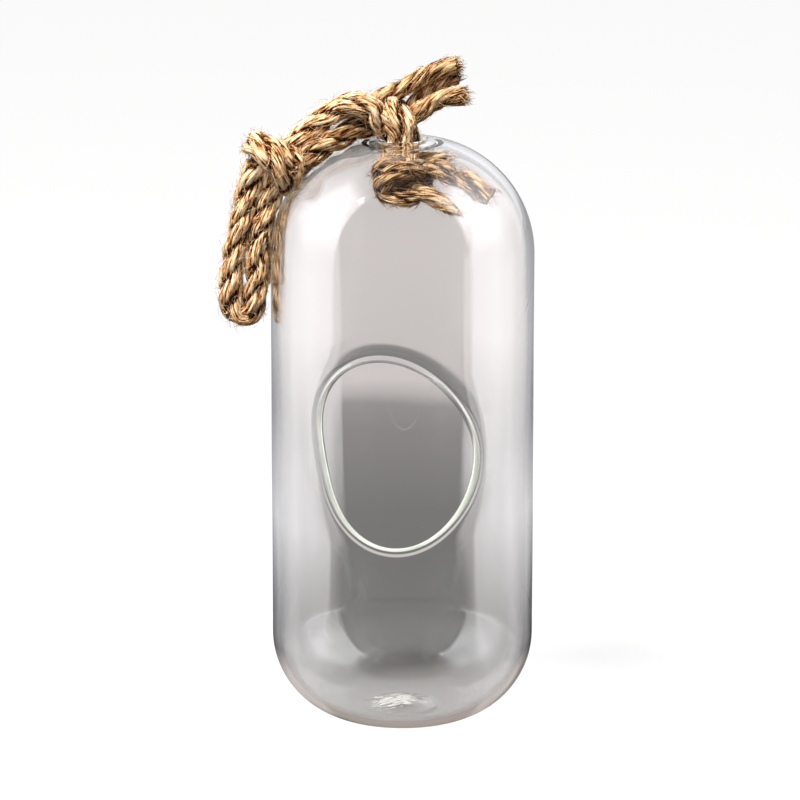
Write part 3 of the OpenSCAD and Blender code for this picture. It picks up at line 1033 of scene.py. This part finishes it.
# The sky seen through the glass, and the floor, as the distance behind the bottle and how light
# it is there: a dark strip straight behind, and paler at both sides of it
SEEN_BACKDROP = 0.5
SEEN_THROUGH = [(0.0, 0.22), (0.03, 0.2), (0.07, 0.07), (0.15, 0.02), (0.28, 0.045),
                (0.41, 0.12), (0.455, 0.18), (0.475, 0.38), (0.5, 0.53), (0.75, 0.6)]
SEEN_ASIDE = [(0.0, 0.24), (0.03, 0.22), (0.1, 0.15), (0.2, 0.2), (0.38, 0.28), (0.6, 0.6),
              (0.75, 0.62)]
SEEN_REACH = 1.0
STRIP_HALF_WIDTH = 0.0262
STRIP_SPREAD = 0.014
STRIP_BLUR = 0.003
# The floor seen through the glass grows lighter by this between these distances aside
FAR_ASIDE = 0.3
ASIDE_FROM = 0.12
ASIDE_TO = 0.4
# Light of the walls in reflections, as degrees round from the front and how light it is there
SIDE_WALLS = [(0, 0.2), (61, 0.2), (63, 3.5), (80, 3.8), (104, 3.7), (118, 2.0), (140, 0.9),
              (180, 0.5)]
HALF_ROUND = 180.0
# The colours in a ramp end at 1, so its levels are divided by this and multiplied again
BRIGHTEST = 4.1
# The walls end above this height, as the sine of the angle of elevation, and they grow lighter
# from their foot to their full height by these shares
WALL_TOP = 0.86
WALL_TOP_BLUR = 0.06
WALL_FULL = 0.5
WALL_FOOT_SHARE = 0.6
WALL_FULL_SHARE = 1.25
# Light overhead, with a dark strip across its middle, and light behind the bottle
OVERHEAD = 0.8
OVERHEAD_STRIP = 0.21
OVERHEAD_DARK = 0.12
BEHIND_FROM = 0.3
BEHIND_LIGHT = 0.45
# The floor in reflections, as the distance from the bottle and its share of the walls' light
FLOOR_SHARES = [(0.0, 0.03), (0.07, 0.07), (0.16, 0.27), (0.3, 0.8), (0.45, 0.56), (0.65, 0.62),
                (1.0, 0.6)]
FLOOR_SHARE_REACH = 1.0
# Warm light of the floor close to the bottle, in reflections
FOOT_LIGHT = 0.4
FOOT_NEAR = 0.05
FOOT_FAR = 0.1


def sum_of_rays(tree, shares):
    """A number that is the sum of the shares of those kinds of ray that a ray is."""
    rays = new_node(tree, "LightPath", {})
    total = 0
    for kind, share in shares.items():
        total = calculated(tree, "MULTIPLY_ADD", rays.outputs[kind], share, total)
    return total


def level_ramp(tree, value, points, reach):
    """A level that follows the points over a value that runs from 0 to the reach."""
    share = calculated(tree, "DIVIDE", value, reach)
    stops = [(place / reach, [light / BRIGHTEST] * 3) for place, light in points]
    return calculated(tree, "MULTIPLY", colour_ramp(tree, share, stops), BRIGHTEST)


def smooth_step(tree, value, low, high, start, end):
    """Goes from start to end as a value goes from low to high."""
    step = new_node(tree, "MapRange", {"Value": value, "From Min": low, "From Max": high,
                                       "To Min": start, "To Max": end},
                    interpolation_type="SMOOTHSTEP")
    return step.outputs[0]


def wall_light(tree, vector):
    """Light of the walls in a direction, by its angle round from the front."""
    split = new_node(tree, "SeparateXYZ", {0: vector}).outputs
    aside = calculated(tree, "ABSOLUTE", split["X"])
    ahead = calculated(tree, "MULTIPLY", split["Y"], -1)
    round_from_front = calculated(tree, "ARCTAN2", aside, ahead)
    degrees = calculated(tree, "MULTIPLY", round_from_front, HALF_ROUND / math.pi)
    return split, aside, level_ramp(tree, degrees, SIDE_WALLS, HALF_ROUND)


def emission(tree, strength, colour=(1, 1, 1)):
    return new_node(tree, "Emission", {"Color": (*colour, 1), "Strength": strength}).outputs[0]


def added(tree, first, second):
    return new_node(tree, "AddShader", {0: first, 1: second}).outputs[0]


def chosen(tree, unreflected, reflected):
    """One light for rays that the glass has reflected on their way, and another for the rest."""
    depth = new_node(tree, "LightPath", {}).outputs["Glossy Depth"]
    is_reflected = calculated(tree, "GREATER_THAN", depth, 0.5)
    choose = new_node(tree, "MixShader", {"Fac": is_reflected, 1: unreflected, 2: reflected})
    return choose.outputs[0]


def seen_through_glass(tree, split, aside):
    """How light the floor is where it is seen through the glass, by its place."""
    spread = calculated(tree, "MULTIPLY", split["Y"], STRIP_SPREAD)
    off_strip = smooth_step(tree, calculated(tree, "SUBTRACT", aside, spread),
                            STRIP_HALF_WIDTH - STRIP_BLUR, STRIP_HALF_WIDTH + STRIP_BLUR, 0.0, 1.0)
    behind = level_ramp(tree, split["Y"], SEEN_THROUGH, SEEN_REACH)
    beside = level_ramp(tree, split["Y"], SEEN_ASIDE, SEEN_REACH)
    seen = new_node(tree, "Mix", {"Factor": off_strip, "A": behind, "B": beside})
    far_aside = smooth_step(tree, aside, ASIDE_FROM, ASIDE_TO, 0.0, FAR_ASIDE)
    level = calculated(tree, "ADD", seen.outputs["Result"], far_aside)
    return calculated(tree, "MULTIPLY", level, sum_of_rays(tree, {"Is Transmission Ray": 1.0}))


def make_floor():
    material, tree = new_material("floor")
    diffuse = new_node(tree, "BsdfDiffuse", {"Color": FLOOR_COLOUR}).outputs[0]
    plain = sum_of_rays(tree, {"Is Camera Ray": SEEN_FLOOR, "Is Diffuse Ray": FLOOR_FILL})
    place = new_node(tree, "NewGeometry", {}).outputs["Position"]
    split, aside, walls = wall_light(tree, place)
    through = seen_through_glass(tree, split, aside)
    lit = added(tree, added(tree, diffuse, emission(tree, plain)),
                emission(tree, through, WARM_GREY))

    distance = new_node(tree, "VectorMath", {0: place}, operation="LENGTH").outputs["Value"]
    share = level_ramp(tree, distance, FLOOR_SHARES, FLOOR_SHARE_REACH)
    foot = smooth_step(tree, distance, FOOT_NEAR, FOOT_FAR, FOOT_LIGHT, 0.0)
    mirrored = emission(tree, calculated(tree, "MULTIPLY", walls, share), COOL_WHITE)
    mirrored = added(tree, mirrored, emission(tree, foot, WARM_FOOT))
    new_node(tree, "OutputMaterial", {"Surface": chosen(tree, lit, mirrored)})

    r = FLOOR_REACH
    mesh = bpy.data.meshes.new("floor")
    mesh.from_pydata([(-r, -r, 0), (r, -r, 0), (r, r, 0), (-r, r, 0)], [], [(0, 1, 2, 3)])
    mesh.materials.append(material)
    floor = bpy.data.objects.new("floor", mesh)
    bpy.context.scene.collection.objects.link(floor)


def make_world():
    world = bpy.data.worlds.new("studio")
    bpy.context.scene.world = world
    world.use_nodes = True
    tree = world.node_tree
    tree.nodes.clear()
    strength = sum_of_rays(tree, {"Is Camera Ray": SEEN_SKY, "Is Diffuse Ray": SKY_FILL,
                                  "Is Transmission Ray": SEEN_BACKDROP})
    plain = new_node(tree, "Background", {"Strength": strength})

    direction = new_node(tree, "TexCoord", {}).outputs["Generated"]
    split, aside, light = wall_light(tree, direction)
    height = split["Z"]
    top = (WALL_TOP - WALL_TOP_BLUR, WALL_TOP + WALL_TOP_BLUR)
    below_top = smooth_step(tree, height, *top, 1.0, 0.0)
    from_foot = smooth_step(tree, height, 0.0, WALL_FULL, WALL_FOOT_SHARE, WALL_FULL_SHARE)
    light = calculated(tree, "MULTIPLY", light, below_top)
    light = calculated(tree, "MULTIPLY", light, from_foot)
    overhead = smooth_step(tree, height, *top, 0.0, OVERHEAD)
    off_middle = smooth_step(tree, aside, OVERHEAD_STRIP, 2 * OVERHEAD_STRIP, OVERHEAD_DARK, 1.0)
    behind = smooth_step(tree, split["Y"], BEHIND_FROM, 1.0, 0.0, BEHIND_LIGHT)
    light = calculated(tree, "ADD", light, calculated(tree, "MULTIPLY", overhead, off_middle))
    light = calculated(tree, "ADD", light, behind)
    walls = new_node(tree, "Background", {"Color": (*COOL_WHITE, 1), "Strength": light})
    new_node(tree, "OutputWorld", {"Surface": chosen(tree, plain.outputs[0], walls.outputs[0])})


# The lamps, whose power is in watts
LAMPS_AIM = (0, 0, 0.15)


def make_lamp(name, place, size, power, colour=(1, 1, 1)):
    lamp = bpy.data.objects.new(name, bpy.data.lights.new(name, "AREA"))
    lamp.data.shape = "RECTANGLE"
    lamp.data.size, lamp.data.size_y = size
    lamp.data.energy = power
    lamp.data.color = colour
    lamp.location = place
    lamp.rotation_euler = (Vector(LAMPS_AIM) - Vector(place)).to_track_quat("-Z", "Y").to_euler()
    bpy.context.scene.collection.objects.link(lamp)
    return lamp


def make_studio():
    make_floor()
    make_world()
    key = make_lamp("key", place=(-0.5, -0.5, 1.6), size=(0.22, 0.22), power=49,
                    colour=(1, 0.98, 0.95))
    front = make_lamp("front", place=(-0.6, -1.1, 1.1), size=(0.4, 0.4), power=14,
                      colour=(1, 0.99, 0.97))
    for lamp in (key, front):
        lamp.visible_glossy = False
        lamp.visible_transmission = False
    make_lamp("glint", place=(-0.8, -0.36, 1.5), size=(0.05, 0.16), power=1.0)


make_studio()
bpy.context.scene.view_settings.view_transform = "Standard"
